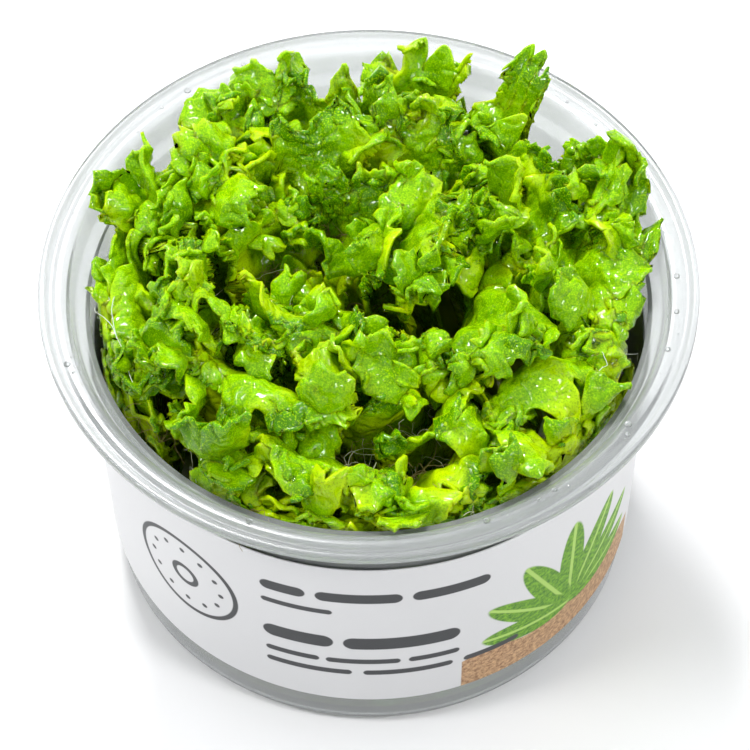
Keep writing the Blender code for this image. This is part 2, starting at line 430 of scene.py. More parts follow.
label = wind_label()
LABEL_LENGTH = (tau - SEAM) * wall_radius(0.5 * (LABEL_BOTTOM + LABEL_TOP))
LABEL_HEIGHT = LABEL_TOP - LABEL_BOTTOM
print("label", round(LABEL_LENGTH), "mm long,", round(LABEL_HEIGHT), "mm high")

# %% [markdown]
# ### The print
# Ink has crisp edges at any size, which a picture file hasn't. So each printed shape is a signed
# distance in millimetres, worked out by a few maths nodes: below zero is ink. The least of several
# distances joins their shapes. The print is generic: a dial of dots, plain bars where words would be,
# and a fan of leaves over wavy ground.

# %% Distances to bars and rings
INK_EDGE = 0.12


def inside(tree, distance):
    """1 where a signed distance in millimetres is below zero, with a soft edge of ink."""
    return smooth_step(tree, maths(tree, "MULTIPLY", distance, -1.0), -INK_EDGE, INK_EDGE)


def length_of(tree, across, up):
    """The length of a flat vector."""
    squares = maths(tree, "ADD", maths(tree, "MULTIPLY", across, across), maths(tree, "MULTIPLY", up, up))
    return maths(tree, "SQRT", squares)


def bar_distance(tree, across, up, centre, size):
    """Distance to a bar with round ends, centred at a point of the label."""
    half_length = 0.5 * (size[0] - size[1])
    aside = maths(tree, "ABSOLUTE", maths(tree, "SUBTRACT", across, centre[0]))
    beyond = maths(tree, "MAXIMUM", maths(tree, "SUBTRACT", aside, half_length), 0.0)
    rise = maths(tree, "SUBTRACT", up, centre[1])
    return maths(tree, "SUBTRACT", length_of(tree, beyond, rise), 0.5 * size[1])


def ring_distance(tree, across, up, centre, radius, width):
    from_left = maths(tree, "SUBTRACT", across, centre[0])
    rise = maths(tree, "SUBTRACT", up, centre[1])
    off_ring = maths(tree, "SUBTRACT", length_of(tree, from_left, rise), radius)
    return maths(tree, "SUBTRACT", maths(tree, "ABSOLUTE", off_ring), 0.5 * width)


# %% The dial and the bars
DIAL_CENTRE = (-31.0, 21.0)
DIAL_RADIUS = 9.5
DIAL_LINE = 0.9
HUB_RADIUS = 2.2
HUB_LINE = 1.0
DOTS = 12
DOT = 1.0
DOT_REACH = DIAL_RADIUS - 2.6
BARS = (
    ((-13.5, 31.0), (7.0, 2.6)), ((-2.0, 31.0), (13.0, 2.6)), ((12.0, 31.0), (12.0, 2.6)),
    ((-11.5, 26.5), (11.0, 1.3)),
    ((-11.5, 17.5), (11.0, 3.4)), ((4.5, 17.5), (18.0, 3.4)),
    ((-12.5, 12.0), (8.5, 1.4)), ((-1.5, 12.0), (11.5, 1.4)), ((9.5, 12.0), (8.0, 1.4)),
    ((-10.0, 8.6), (13.5, 1.4)), ((5.5, 8.6), (14.0, 1.4)), ((19.0, 8.6), (9.5, 1.4)),
)


def dial_dots():
    """The places of the dots round the dial."""
    angles = [tau * number / DOTS for number in range(DOTS)]
    left, up = DIAL_CENTRE
    return [(left + DOT_REACH * cos(angle), up + DOT_REACH * sin(angle)) for angle in angles]


def ink_mask(tree, across, up):
    rim = ring_distance(tree, across, up, DIAL_CENTRE, DIAL_RADIUS, DIAL_LINE)
    hub = ring_distance(tree, across, up, DIAL_CENTRE, HUB_RADIUS, HUB_LINE)
    nearest = maths(tree, "MINIMUM", rim, hub)
    for centre, size in [(dot, (DOT, DOT)) for dot in dial_dots()] + list(BARS):
        nearest = maths(tree, "MINIMUM", nearest, bar_distance(tree, across, up, centre, size))
    return inside(tree, nearest)


# %% The fan of leaves and its ground
FAN_FOOT = (34.0, 8.0)
FAN_LEAVES = ((12, 17.0), (38, 20.0), (64, 22.0), (90, 23.0), (116, 22.0), (142, 20.0), (168, 17.0))
LEAF_WIDTH = 5.4
RIB = 0.35
GROUND_TOP = 8.0
GROUND_WAVE = 1.1
GROUND_WAVE_PACE = 0.42
GROUND_MIDDLE = 34.0
GROUND_HALF = 20.0


def leaf_distances(tree, across, up, angle, length):
    """Distance to one leaf of the fan, an ellipse that starts at the fan's foot, and to its rib."""
    from_left = maths(tree, "SUBTRACT", across, FAN_FOOT[0])
    rise = maths(tree, "SUBTRACT", up, FAN_FOOT[1])
    turn = (cos(radians(angle)), sin(radians(angle)))
    along = maths(tree, "MULTIPLY_ADD", from_left, turn[0], maths(tree, "MULTIPLY", rise, turn[1]))
    aside = maths(tree, "MULTIPLY_ADD", from_left, -turn[1], maths(tree, "MULTIPLY", rise, turn[0]))
    share = maths(tree, "MULTIPLY", maths(tree, "SUBTRACT", along, 0.5 * length), 2.0 / length)
    slim = maths(tree, "MULTIPLY", aside, 2.0 / LEAF_WIDTH)
    beyond = maths(tree, "SUBTRACT", length_of(tree, share, slim), 1.0)
    leaf = maths(tree, "MULTIPLY", beyond, 0.5 * LEAF_WIDTH)
    return leaf, maths(tree, "SUBTRACT", maths(tree, "ABSOLUTE", aside), RIB)


def ground_distance(tree, across, up):
    """Distance to the strip of wavy ground under the fan."""
    wave = maths(tree, "SINE", maths(tree, "MULTIPLY", across, GROUND_WAVE_PACE))
    height = maths(tree, "SUBTRACT", up, GROUND_TOP)
    level = maths(tree, "SUBTRACT", height, maths(tree, "MULTIPLY", wave, GROUND_WAVE))
    aside = maths(tree, "ABSOLUTE", maths(tree, "SUBTRACT", across, GROUND_MIDDLE))
    return maths(tree, "MAXIMUM", level, maths(tree, "SUBTRACT", aside, GROUND_HALF))


# %% Print the paper
FLECK_SCALE = 1.3
FIBRE_SCALE = 3.0
PAPER_WHITE = colour(0.60, 0.60, 0.605)
INK = colour(0.045, 0.047, 0.05)
RIB_GREEN = colour(0.36, 0.55, 0.12)


def printed_paper():
    material, tree, shader = new_material("printed label paper")
    uv = node(tree, "ShaderNodeUVMap").outputs["UV"]
    parts = node(tree, "ShaderNodeSeparateXYZ", Vector=uv)
    across = maths(tree, "MULTIPLY", maths(tree, "SUBTRACT", parts.outputs["X"], 0.5), LABEL_LENGTH)
    up = maths(tree, "MULTIPLY", parts.outputs["Y"], LABEL_HEIGHT)
    flat = node(tree, "ShaderNodeCombineXYZ", X=across, Y=up).outputs["Vector"]
    fleck = smooth_step(tree, grain(tree, flat, FLECK_SCALE, 4.0, 0.7), 0.3, 0.7)
    green = mixed(tree, fleck, colour(0.03, 0.13, 0.01), colour(0.20, 0.42, 0.02))
    tan = mixed(tree, fleck, colour(0.20, 0.10, 0.05), colour(0.60, 0.38, 0.20))
    page = mixed(tree, inside(tree, ground_distance(tree, across, up)), PAPER_WHITE, tan)
    for angle, length in FAN_LEAVES:
        leaf, rib = leaf_distances(tree, across, up, angle, length)
        page = mixed(tree, inside(tree, leaf), page, green)
        page = mixed(tree, inside(tree, maths(tree, "MAXIMUM", leaf, rib)), page, RIB_GREEN)
    page = mixed(tree, ink_mask(tree, across, up), page, INK)
    fill(tree, shader, Base_Color=page, Roughness=0.5, Specular_IOR_Level=0.25)
    scatter(tree, shader, 0.6, (1.0, 1.0, 1.0), 0.3)
    bumpy(tree, shader, grain(tree, flat, FIBRE_SCALE, 4.0), 0.02)
    return material


label.data.materials.append(printed_paper())
settle(label, "label_paper", "label")

# %% [markdown]
# ## The thalli
# A liverwort has no stems or leaves. Its body is a flat green blade, one or a few cells thick, that
# forks into lobes and crinkles at the margin. Sculpting 48 of them by hand would take days, and blades
# that are placed by chance run through one another. So each blade stands on the jelly and leans outward
# along one curve of a nested family, as lettuce leaves do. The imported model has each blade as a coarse
# solid. The same rule with a fine grid gives the crinkled blade that stands for it.

# %% The family of curves
FOOT = (0.0, 9.0, 15.0, 21.0, 27.0, 33.0, 38.0, 40.0)
FRONT_TIP_RADIUS = (2.0, 17.0, 24.0, 30.5, 36.5, 41.0, 41.5, 41.0)
FRONT_TIP_HEIGHT = (58.0, 68.0, 66.0, 62.5, 59.0, 56.0, 55.0, 53.0)
FRONT_BEND_RADIUS = (1.0, 5.0, 11.5, 18.5, 25.5, 32.5, 38.0, 40.3)
FRONT_BEND_HEIGHT = (48.0, 76.0, 75.0, 71.0, 66.5, 60.0, 49.0, 40.0)
BACK_TIP_RADIUS = (2.0, 13.0, 20.5, 27.5, 34.0, 40.5, 43.0, 43.0)
BACK_TIP_HEIGHT = (54.0, 61.0, 66.0, 69.0, 71.0, 68.5, 60.0, 48.0)
BACK_BEND_RADIUS = (1.0, 6.0, 11.5, 18.0, 24.5, 32.0, 38.5, 40.3)
BACK_BEND_HEIGHT = (45.0, 48.0, 51.0, 54.0, 56.0, 55.0, 48.0, 38.0)
GAP = 0.3
FOOT_HEIGHT = 15.0
FOOT_HANDLE = 0.4
FRONT_SHARE = 0.6
FRONT_TURN = radians(15)


def tip_value(foot, front, front_values, back_values):
    return front * np.interp(foot, FOOT, front_values) + (1.0 - front) * np.interp(foot, FOOT, back_values)


def curve_point(foot, azimuth, place):
    """Radius and height on the nested curve of a foot radius, at a place from 0, foot, to 1, tip."""
    front = (0.5 - 0.5 * np.sin(azimuth + FRONT_TURN)) ** FRONT_SHARE
    tip_height = tip_value(foot, front, FRONT_TIP_HEIGHT, BACK_TIP_HEIGHT)
    points = (
        (foot, FOOT_HEIGHT + GAP),
        (foot, FOOT_HEIGHT + FOOT_HANDLE * (tip_height - FOOT_HEIGHT)),
        (
            tip_value(foot, front, FRONT_BEND_RADIUS, BACK_BEND_RADIUS),
            tip_value(foot, front, FRONT_BEND_HEIGHT, BACK_BEND_HEIGHT),
        ),
        (tip_value(foot, front, FRONT_TIP_RADIUS, BACK_TIP_RADIUS), tip_height),
    )
    rest = 1.0 - place
    weights = (rest ** 3, 3.0 * rest ** 2 * place, 3.0 * rest * place ** 2, place ** 3)
    radius = sum(weight * point[0] for weight, point in zip(weights, points))
    height = sum(weight * point[1] for weight, point in zip(weights, points))
    return radius, height


middle_tip = [round(float(part), 1) for part in curve_point(21.0, 0.0, 1.0)]
print("a curve of the middle ring ends at radius and height", middle_tip, "mm")

# %% [markdown]
# ### The sway of the whole bunch
# Rings of blades look like a rosette from a garden, and the real bunch is a tangle. Moving every point
# by the same slow waves breaks the rings up, and blades that didn't meet before still don't.

# %% Bend space, not the blades
HEART_X = -7.0
HEART_Y = 4.5
HEART_REACH = 41.0
SWAY = 4.2
SWAY_RISE = 30.0
SWAY_REACH = 47.0
SWAY_X = ((0.8, 0.0, 0.12, 0.07, 0.6), (0.4, 0.21, 0.0, 0.0, 2.1))
SWAY_Y = ((0.8, 0.13, 0.0, -0.06, 2.4), (0.4, 0.0, 0.19, 0.0, 0.4))
SWAY_Z = ((0.8, 0.17, 0.08, 0.0, 0.0), (0.4, -0.10, 0.21, 0.0, 1.3))


def off_centre(x, y):
    """Moves the heart of the bunch off the axis and leaves the bunch's edge where it is."""
    share = np.maximum(1.0 - (x * x + y * y) / HEART_REACH ** 2, 0.0)
    return x + HEART_X * share, y + HEART_Y * share


def wave(x, y, z, size, pace_x, pace_y, pace_z, start):
    return size * np.sin(pace_x * x + pace_y * y + pace_z * z + start)


def swayed(x, y, z):
    """The bunch's slow sway, which leaves the feet and what is near the wall where they are."""
    rise = np.clip((z - FOOT_HEIGHT) / SWAY_RISE, 0.0, 1.0)
    calm = np.maximum(1.0 - (x * x + y * y) / SWAY_REACH ** 2, 0.0)
    amount = SWAY * calm * rise * rise * (3.0 - 2.0 * rise)
    shifts = [amount * sum(wave(x, y, z, *parts) for parts in waves) for waves in (SWAY_X, SWAY_Y, SWAY_Z)]
    return x + shifts[0], y + shifts[1], z + shifts[2]


# %% Stay inside the cup
INNER_REACH = 41.2
OUTER_REACH = 46.5
OPEN_HEIGHT = 58.0
OPEN_RISE = 5.0
SOFTNESS = 5.0
LEAST = 0.001


def inside_cup(x, y, z):
    """Presses what would pass through the wall, or far over the rim, back towards the axis."""
    opening = np.clip((z - OPEN_HEIGHT) / OPEN_RISE, 0.0, 1.0)
    reach = INNER_REACH + (OUTER_REACH - INNER_REACH) * opening
    radius = np.maximum(np.sqrt(x * x + y * y), LEAST)
    pressed = reach - SOFTNESS + SOFTNESS * np.tanh((radius - reach + SOFTNESS) / SOFTNESS)
    scale = np.where(radius > reach - SOFTNESS, pressed / radius, 1.0)
    return np.stack((x * scale, y * scale, z), axis=-1)


# %% [markdown]
# ### Chance and noise
# Crinkles need noise: values that change smoothly and look like chance, but are the same in each run.
# Blender's own noise takes one point at a time, which is slow for hundreds of thousands of vertices. The
# same kind of noise is short to write for whole grids: each corner of a lattice gets a slope by chance,
# and the slopes are blended between the corners.

# %% Chance
SHARE_PACE = (12.9898, 78.233)
LATTICE_PACE = np.array((127.1, 311.7, 74.7))
TURN_PACE = 19.19
SCATTER = 43758.5453


def random_share(count, seed):
    """A number from 0 to 1 for each whole number of a grid."""
    value = np.sin(count * SHARE_PACE[0] + seed * SHARE_PACE[1]) * SCATTER
    return value - np.floor(value)


def lattice_share(corner, turn):
    """A number from -1 to 1 for each corner of a lattice."""
    value = np.sin(corner @ LATTICE_PACE + turn * TURN_PACE) * SCATTER
    return 2.0 * (value - np.floor(value)) - 1.0


# %% Noise
NOISE_GAIN = 1.35
NOISE_APART = 17.0


def soft_noise(points, size):
    """Smooth noise from about -1 to 1 at each point of a grid, with waves of about the given size."""
    place = points / size
    cell = np.floor(place)
    share = place - cell
    blend = share * share * share * (share * (share * 6.0 - 15.0) + 10.0)
    total = np.zeros(points.shape[:-1])
    for corner in product((0.0, 1.0), repeat=3):
        offset = share - corner
        slope = sum(lattice_share(cell + corner, axis) * offset[..., axis] for axis in range(3))
        total += slope * np.prod(np.where(corner, blend, 1.0 - blend), axis=-1)
    return NOISE_GAIN * total


def noise_vector(points, size):
    """Three such noises at once, as a shift in space."""
    return np.stack([soft_noise(points + NOISE_APART * axis, size) for axis in range(1, 4)], axis=-1)


def line_noise(values, seed):
    """The same along a line of numbers."""
    flat = np.stack((values, np.full_like(values, seed), np.zeros_like(values)), axis=-1)
    return soft_noise(flat, 1.0)


print("noise along a line", np.round(line_noise(np.linspace(0.0, 2.0, 5), 0.5), 2))

# %% [markdown]
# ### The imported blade's own rule
# The fine blade has to lie where the coarse solid lies, from every side. So it starts from the same
# numbers: six columns across the blade, each a little longer or shorter and folded a little in or out.

# %% Columns of one blade
COLUMNS = 6
FOLD = 1.2
LOBE_REACH = 0.06
NOTCH_REACH = -0.04
NOTCH_LEAST = 0.4
FOLD_COLUMN = 40.0


def lobe_values(column, seed):
    """How far a blade's column reaches beyond or short of its length, and how far it folds to a side."""
    share = random_share(column, seed)
    notch = np.mod(column + seed, 2.0) > 0.5
    reach = np.where(notch, NOTCH_REACH * (NOTCH_LEAST + share), LOBE_REACH * share)
    fold = np.where(notch, 0.0, FOLD * (2.0 * random_share(column + FOLD_COLUMN, seed) - 1.0))
    return reach, fold


def between_columns(across, seed):
    """The reach and the fold at any place across a blade, smoothly between its columns."""
    place = 0.5 * (across + 1.0) * COLUMNS
    column = np.clip(np.floor(place), 0.0, COLUMNS - 1.0)
    share = np.clip(place - column, 0.0, 1.0)
    share = share * share * (3.0 - 2.0 * share)
    left = lobe_values(column, seed)
    right = lobe_values(column + 1.0, seed)
    return [(1.0 - share) * low + share * high for low, high in zip(left, right)]


# %% The blade's middle surface
FOOT_HALF_WIDTH = 2.6
LEAN_REACH = 0.05
LEAN_PACE = 2.7
CROWN_DROP = 0.10
SPREAD_POWER = 1.1
LEAST_RADIUS = 6.0


def base_surface(blade, across, along):
    """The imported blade's own rule, for whole grids."""
    foot, azimuth, width, length, twist, seed = blade
    reach, fold = between_columns(across, seed)
    lean = LEAN_REACH * sin(seed * LEAN_PACE) * across
    place = along * length * (1.0 + (reach + lean - CROWN_DROP * across ** 2) * along)
    folded_foot = foot + fold * along ** 2
    spread = FOOT_HALF_WIDTH + (0.5 * width - FOOT_HALF_WIDTH) * np.maximum(along, 0.0) ** SPREAD_POWER
    here = np.maximum(curve_point(foot, azimuth, place)[0], LEAST_RADIUS)
    turn = azimuth + twist * along ** 2 + across * spread / here
    radius, height = curve_point(folded_foot, turn, place)
    x, y = off_centre(radius * np.cos(turn), radius * np.sin(turn))
    return np.stack(swayed(x, y, height), axis=-1)


# %% [markdown]
# ### Margins
# The margin is what the eye knows this plant by: knobby teeth about a millimetre apart, ragged bays, and
# a few deep clefts that part one lobe from the next. They are all changes of how far the grid reaches,
# worked out along the run of the margin, so the mesh stays a plain grid without cuts.

# %% Teeth
TOOTH_SPAN = 1.3
TOOTH = 1.0
TOOTH_SETBACK = 0.15
TOOTH_SHARPNESS = 1.2
TOOTH_RARITY = 1.6
TOOTH_WANDER = 0.6
TOOTH_WANDER_SPAN = 3.0


def teeth(run, seed):
    """A row of pointed teeth of uneven height along the margin, in millimetres."""
    place = run / TOOTH_SPAN + TOOTH_WANDER * line_noise(run / TOOTH_WANDER_SPAN, seed)
    number = np.floor(place)
    peak = 1.0 - np.abs(2.0 * (place - number) - 1.0)
    height = peak ** TOOTH_SHARPNESS * random_share(number, seed) ** TOOTH_RARITY
    return TOOTH * (height - TOOTH_SETBACK)


# %% Clefts
CLEFTS = 3
CLEFT_DEPTH = 0.17
CLEFT_WIDTH = 0.10
PLACE_DRAW, DEPTH_DRAW, WIDTH_DRAW = 0.3, 0.6, 0.9


def clefts(across, seed):
    """How deeply the crown is cut between its lobes, as a share of the blade's length."""
    depth = np.zeros_like(across)
    for number in range(CLEFTS):
        centre = (number + 0.25 + 0.5 * random_share(number, seed + PLACE_DRAW)) * 2.0 / CLEFTS - 1.0
        reach = CLEFT_DEPTH * random_share(number, seed + DEPTH_DRAW)
        width = CLEFT_WIDTH * (0.5 + random_share(number, seed + WIDTH_DRAW))
        depth = np.maximum(depth, reach * np.exp(-((across - centre) / width) ** 2))
    return depth


# %% How near the margin
CROWN_START = 0.4
FLANK_START = 0.3
FLANK_SPAN = 0.35


def margin_share(across, along):
    """How near the margin a point is, from 0 to 1: along the crown, up each flank, and to either."""
    crown = np.clip((along - CROWN_START) / (1.0 - CROWN_START), 0.0, 1.0)
    flank = np.abs(across) ** 4 * np.clip((along - FLANK_START) / FLANK_SPAN, 0.0, 1.0)
    return crown, flank, 1.0 - (1.0 - crown ** 4) * (1.0 - flank)


def margin_run(across, along, half_width, length):
    """How far along the margin a point is, in millimetres, from the middle of the crown."""
    return np.sign(across) * (np.abs(across) * half_width + (1.0 - along) * length * np.abs(across) ** 3)


# %% [markdown]
# ### Relief
# A wet thallus is quilted: soft swells a few millimetres wide, with finer wrinkles that meet in ridges.
# The plain noise gives swells, and its absolute value gives ridges, because it folds each wave at zero.
# All of it is real shape, moved along the surface's normal, since a bump can't change an outline.

# %% Layers of noise
NOISES = {
    "patches": (53.0, 9.0),
    "busy": (71.0, 12.0),
    "swells": (0.0, 6.5),
    "wrinkles": (31.0, 3.6),
    "puckers": (11.0, 2.0),
    "age": (90.0, 8.0),
}


def layer(points, name):
    """One of the noises on the blades, by name: each has its own shift and size."""
    shift, size = NOISES[name]
    return soft_noise(points + shift, size)


def grid_normals(points):
    normal = np.cross(np.gradient(points, axis=1), np.gradient(points, axis=0))
    return normal / np.maximum(np.linalg.norm(normal, axis=-1, keepdims=True), 1e-9)


# %% Ruffles along the margin, in millimetres, with the span of their waves
CURL, CURL_SPAN = 2.6, 4.5
ROLL_UNDER, ROLL_SPAN = 1.2, 11.0
FRILL, FRILL_SPAN = 0.7, 2.9
FRILL_WANDER, FRILL_WANDER_SPAN = 2.4, 4.0
FRILL_START = 2.6
CALM_SPAN = 9.0


def ruffles(run, margin, seed):
    calm = np.clip(0.5 + 0.9 * line_noise(run / CALM_SPAN, seed + 5.0), 0.0, 1.2)
    wander = FRILL_WANDER * line_noise(run / FRILL_WANDER_SPAN, seed)
    phase = tau * run / FRILL_SPAN + FRILL_START * seed + wander
    lift = CURL * margin ** 2 * line_noise(run / CURL_SPAN, seed + 9.0)
    lift += ROLL_UNDER * margin ** 4 * line_noise(run / ROLL_SPAN, seed + 2.0)
    return lift + FRILL * margin ** 3 * np.sin(phase) * calm


# %% Swells, wrinkles and puckers on the face
SWELL = 2.6
WRINKLE, WRINKLE_LEVEL = 0.9, 0.5
PUCKER, PUCKER_LEVEL = 0.55, 0.4
CUPPING, CUPPING_PACE = 1.0, 2.3


def face_relief(points, across, along, seed):
    busy = 0.45 + 0.55 * np.clip(0.5 + 1.5 * layer(points, "busy"), 0.0, 1.0)
    lift = SWELL * np.minimum(along * 2.0, 1.0) * layer(points, "swells")
    lift += WRINKLE * busy * (WRINKLE_LEVEL - np.abs(layer(points, "wrinkles")))
    lift += PUCKER * busy * (PUCKER_LEVEL - np.abs(layer(points, "puckers")))
    return lift + CUPPING * sin(CUPPING_PACE * seed) * (across ** 2 - 0.33) * along ** 2


# %% One whole blade
RAGGED = 1.4
RAGGED_SPANS = (3.2, 7.0)
TALL = 52.0
CLEFT_START = 0.35
FULL_WIDTH = 22.0
KNOB = 1.5
KNOB_SIZES = (1.9, 1.0)
KNOB_APART = 7.0
CRISPED_GAIN, CRISPED_LEVEL = 2.8, 0.5


def blade_surface(blade, across, along):
    """Points of a blade, how near each is to the margin, and how crisped it is."""
    width, length, seed = blade[2], blade[3], blade[5]
    half = 0.5 * width
    tall = TALL * length
    fullness = min(width / FULL_WIDTH, 1.0)
    crown, flank, margin = margin_share(across, along)
    run = margin_run(across, along, half, tall)
    tooth = teeth(run, seed)
    ragged = RAGGED * sum(line_noise(run / span, seed + 3.0 + step) for step, span in enumerate(RAGGED_SPANS))
    cut = clefts(across, seed) * fullness
    along = along * (1.0 - cut * np.clip((along - CLEFT_START) / (1.0 - CLEFT_START), 0.0, 1.0))
    along = along + (tooth * crown ** 18 + ragged * crown ** 8) / tall
    across = across * (1.0 + (tooth * flank ** 3 + ragged * flank) / half)
    points = base_surface(blade, across, along)
    normal = grid_normals(points)
    crisped = np.clip(CRISPED_GAIN * layer(points, "patches") + CRISPED_LEVEL, 0.0, 1.0)
    crisped = crisped * np.clip(1.3 * margin, 0.0, 1.0)
    lift = ruffles(run, margin, seed) + face_relief(points, across, along, seed)
    knobs = noise_vector(points, KNOB_SIZES[0]) + 0.5 * noise_vector(points + KNOB_APART, KNOB_SIZES[1])
    points = points + fullness * (normal * lift[..., None] + KNOB * crisped[..., None] * knobs)
    return inside_cup(points[..., 0], points[..., 1], points[..., 2]), margin, crisped


# %% [markdown]
# ### From a grid to a blade
# The surface is a rule from two numbers, across and along, to a point. A grid primitive has just those
# two numbers, so its vertices are moved to the rule's points. Rows crowd towards the crown, where the
# teeth are. Solidify gives the sheet its thickness last.

# %% The grid
BLADE_COLUMNS = 74
BLADE_ROWS = 92
FOOT_ROWS = 8
FOOT_SHARE = 0.42
SIDE_CROWDING = 0.2
CROWN_CROWDING = 0.35
BLADE_THICKNESS = 0.6


def grid_places():
    """Across and along for each vertex of the grid, which is finer near the margins."""
    side = np.linspace(-1.0, 1.0, BLADE_COLUMNS + 1)
    across = (1.0 + SIDE_CROWDING) * side - SIDE_CROWDING * side ** 3
    step = np.linspace(0.0, 1.0, BLADE_ROWS - FOOT_ROWS + 1)
    upper = FOOT_SHARE + (1.0 - FOOT_SHARE) * ((1.0 + CROWN_CROWDING) * step - CROWN_CROWDING * step ** 2)
    lower = np.linspace(0.0, FOOT_SHARE, FOOT_ROWS + 1)[:-1]
    return np.meshgrid(across, np.concatenate((lower, upper)))


# %% What each vertex remembers for the material
# DEEP_TOP and DEEP_SPAN set painted fill light: tissue deep in the bunch, where shade falls, is made lighter
# and yellower.
DEEP_TOP = 60.0
DEEP_SPAN = 14.0
AGE_PATCHES = 0.55
AGE_OF_BLADE = 0.16
# The margin is made lighter and yellower: partly young growth and partly a painted glow of the translucent
# edge.
MARGIN_YOUTH_AND_GLOW = 0.14
PAINTED_DEPTH_LIGHT = 0.45


def youth_and_painted_light_share(points, margin, tone):
    """How yellow and light the tissue is, about 0 to 1: young in patches, young and with a painted glow near
    the margin, and with painted fill light deep down in the shade.
    """
    depth = np.clip((DEEP_TOP - points[..., 2]) / DEEP_SPAN, 0.0, 1.0)
    youth_and_painted_light = 0.5 + AGE_PATCHES * layer(points, "age") + AGE_OF_BLADE * (tone - 0.5)
    return youth_and_painted_light + MARGIN_YOUTH_AND_GLOW * margin ** 3 + PAINTED_DEPTH_LIGHT * depth


def store(mesh, name, values):
    mesh.attributes.new(name, "FLOAT", "POINT").data.foreach_set("value", np.ravel(values))


def store_looks(mesh, points, margin, crisped, tone):
    store(mesh, "youth_and_painted_light", youth_and_painted_light_share(points, margin, tone))
    store(mesh, "crisped", crisped)


def sheet_piece(name, points, margin, crisped, tone):
    """A grid primitive whose vertices are moved to the points of a surface."""
    start_clean()
    rows, columns = margin.shape
    bpy.ops.mesh.primitive_grid_add(x_subdivisions=columns - 1, y_subdivisions=rows - 1, size=2.0)
    piece = named(name)
    piece.data.vertices.foreach_set("co", (points * MM).ravel())
    store_looks(piece.data, points, margin, crisped, tone)
    piece.data.update()
    return piece


# %% [markdown]
# ### Small lobes
# A thallus keeps forking, and small knobby lobes stand on its face and crowd its crown. A grid can't
# branch. So each lobe is a little sheet of its own that grows from a place on the blade, most often a
# crisped one. All lobes of a blade are made as one mesh, because joining hundreds of objects one by one
# is slow. A few hollows of the bunch, where one looks down between the thalli, are kept free of them.

# %% Hollows
HOLLOWS = ((-14.0, -0.6, 5.5), (-1.0, -1.7, 4.0), (5.0, -8.3, 5.0), (-7.5, 19.7, 6.5))
LOOK_DOWN = (0.818, 0.575)
LOOK_HEIGHT = 31.2


def in_hollow(point):
    """Whether a point lies in one of the bunch's open hollows, as seen by someone who looks down on it."""
    rise = LOOK_DOWN[0] * point[1] + LOOK_DOWN[1] * (point[2] - LOOK_HEIGHT)
    return any((point[0] - x) ** 2 + (rise - y) ** 2 < reach ** 2 for x, y, reach in HOLLOWS)


# %% One small lobe
LOBE_CELLS = 12
LOBE_NECK = 0.35
LOBE_CROWN_DROP = 0.45
LOBE_RAGGED, LOBE_RAGGED_SPAN = 0.3, 2.2
LOBE_KNOB_SIZES = (2.4, 1.3)
LOBE_KNOB_APART = 5.0
LOBE_SWELL, LOBE_SWELL_SIZE = 2.4, 3.4


def unit(direction):
    return direction / max(np.linalg.norm(direction), 1e-9)


def lobe_surface(root, rise, face, length, width, seed):
    """A small lobe that rises from a place on a blade and curls over towards its face."""
    side_steps = np.linspace(-1.0, 1.0, LOBE_CELLS + 1)
    across, along = np.meshgrid(side_steps, 0.5 * (side_steps + 1.0))
    half = 0.5 * width * (LOBE_NECK + (1.0 - LOBE_NECK) * np.sin(0.5 * pi * np.minimum(1.3 * along, 1.0)))
    margin = 1.0 - (1.0 - along ** 4) * (1.0 - across ** 4 * np.minimum(2.0 * along, 1.0))
    run = margin_run(across, along, 0.5 * width, length)
    ragged = LOBE_RAGGED * length * line_noise(run / LOBE_RAGGED_SPAN, seed)
    long = along * length * (1.0 - LOBE_CROWN_DROP * across ** 2) + (ragged + teeth(run, seed)) * along ** 8
    side = unit(np.cross(rise, face))
    bend = length * along ** 2 * (0.35 + 0.5 * random_share(seed, 3.0))
    points = root + long[..., None] * rise + bend[..., None] * face + (half * across)[..., None] * side
    knobs = noise_vector(points, LOBE_KNOB_SIZES[0])
    knobs = knobs + 0.5 * noise_vector(points + LOBE_KNOB_APART, LOBE_KNOB_SIZES[1])
    points += (KNOB * along)[..., None] * knobs
    points += (LOBE_SWELL * along * soft_noise(points, LOBE_SWELL_SIZE))[..., None] * face
    crisped = margin * (0.2 + 0.8 * random_share(seed, 8.0))
    return inside_cup(points[..., 0], points[..., 1], points[..., 2]), margin, crisped


# %% Where the lobes grow: number, stretch of the blade, lengths, widths and leans of each kind
SMALL_LOBES = (8, (0.60, 0.98), (2.5, 4.5), (2.5, 5.0), (0.4, 1.2))
INNER_LOBES = (5, (0.45, 0.85), (6.0, 10.0), (5.0, 9.0), (0.15, 0.55))
LOBE_TRIES = 5
TRY_STEP = 0.37
SHORTENING = ((58.0, 70.0), (1.0, 0.5))
TURNED_LOBES = 0.35
LOBE_UPWARD = 0.8
LOBE_TILT = 0.4
LOBE_MIDDLE = 0.6


def crisped_spot(crisped, span, number, seed):
    """Of a few chance places on a stretch of a blade, the most crisped one."""
    rows, columns = crisped.shape
    spots = []
    for attempt in range(LOBE_TRIES):
        draw = number + TRY_STEP * attempt
        height = span[0] + (span[1] - span[0]) * random_share(draw, seed + 0.2)
        row = int(rows * height)
        column = int(columns * (0.05 + 0.9 * random_share(draw, seed + 0.5)))
        spots.append((crisped[row, column], row, column))
    return max(spots)[1:]


